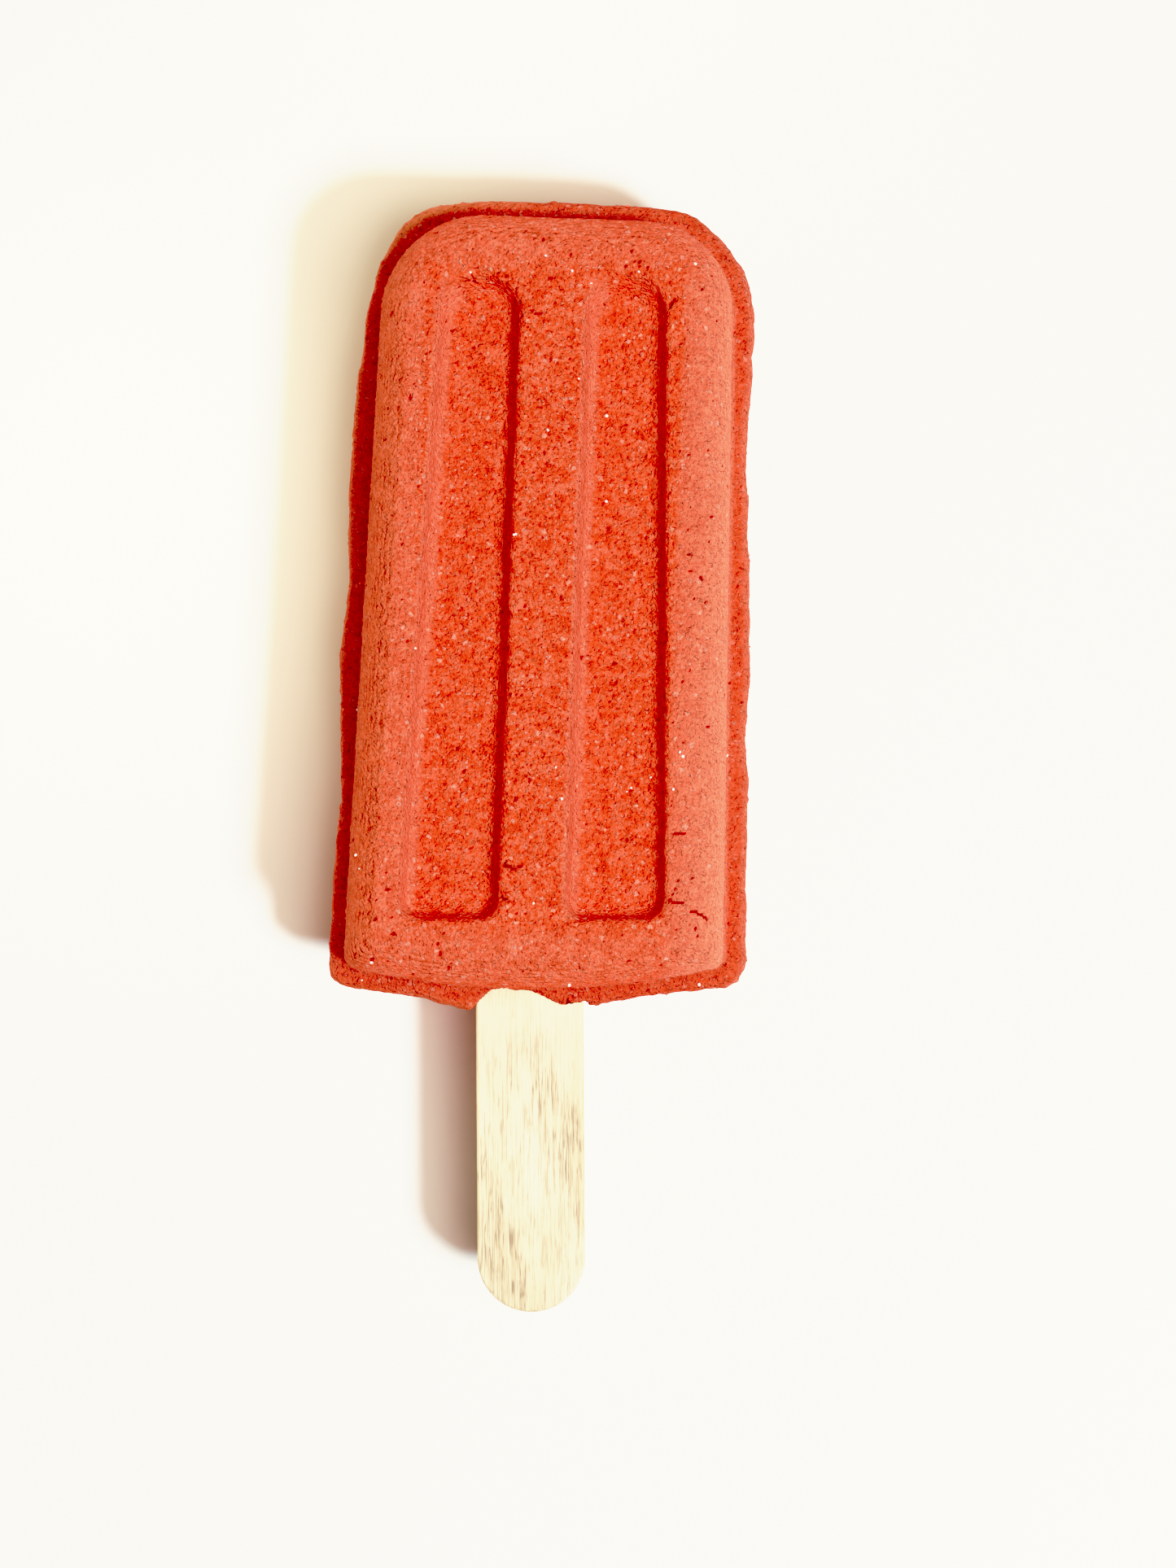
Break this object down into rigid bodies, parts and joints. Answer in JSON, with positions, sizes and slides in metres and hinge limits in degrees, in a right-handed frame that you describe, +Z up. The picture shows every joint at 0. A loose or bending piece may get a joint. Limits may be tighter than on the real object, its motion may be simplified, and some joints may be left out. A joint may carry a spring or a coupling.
{
  "type": "ice pop bath bomb",
  "caption": "Bath bomb shaped like an ice pop: a grainy pressed block with a rounded crown, long grooves on both faces, ragged seam flash and a flat wooden stick.",
  "frame": {"origin": "middle of the block's back face, on the plane that it lies on, half way between crown and foot", "axes": "+Y along the block from the stick's end towards the rounded crown, +Z up out of the shown face, +X to the right in the shown view"},
  "size_m": [0.0389, 0.1032, 0.02],
  "materials": {
    "powder": "matt, dry and grainy",
    "wood": "raw, sanded birch"
  },
  "bodies": {
    "root": {"block": "powder", "stick": "wood"}
  },
  "joints": []
}
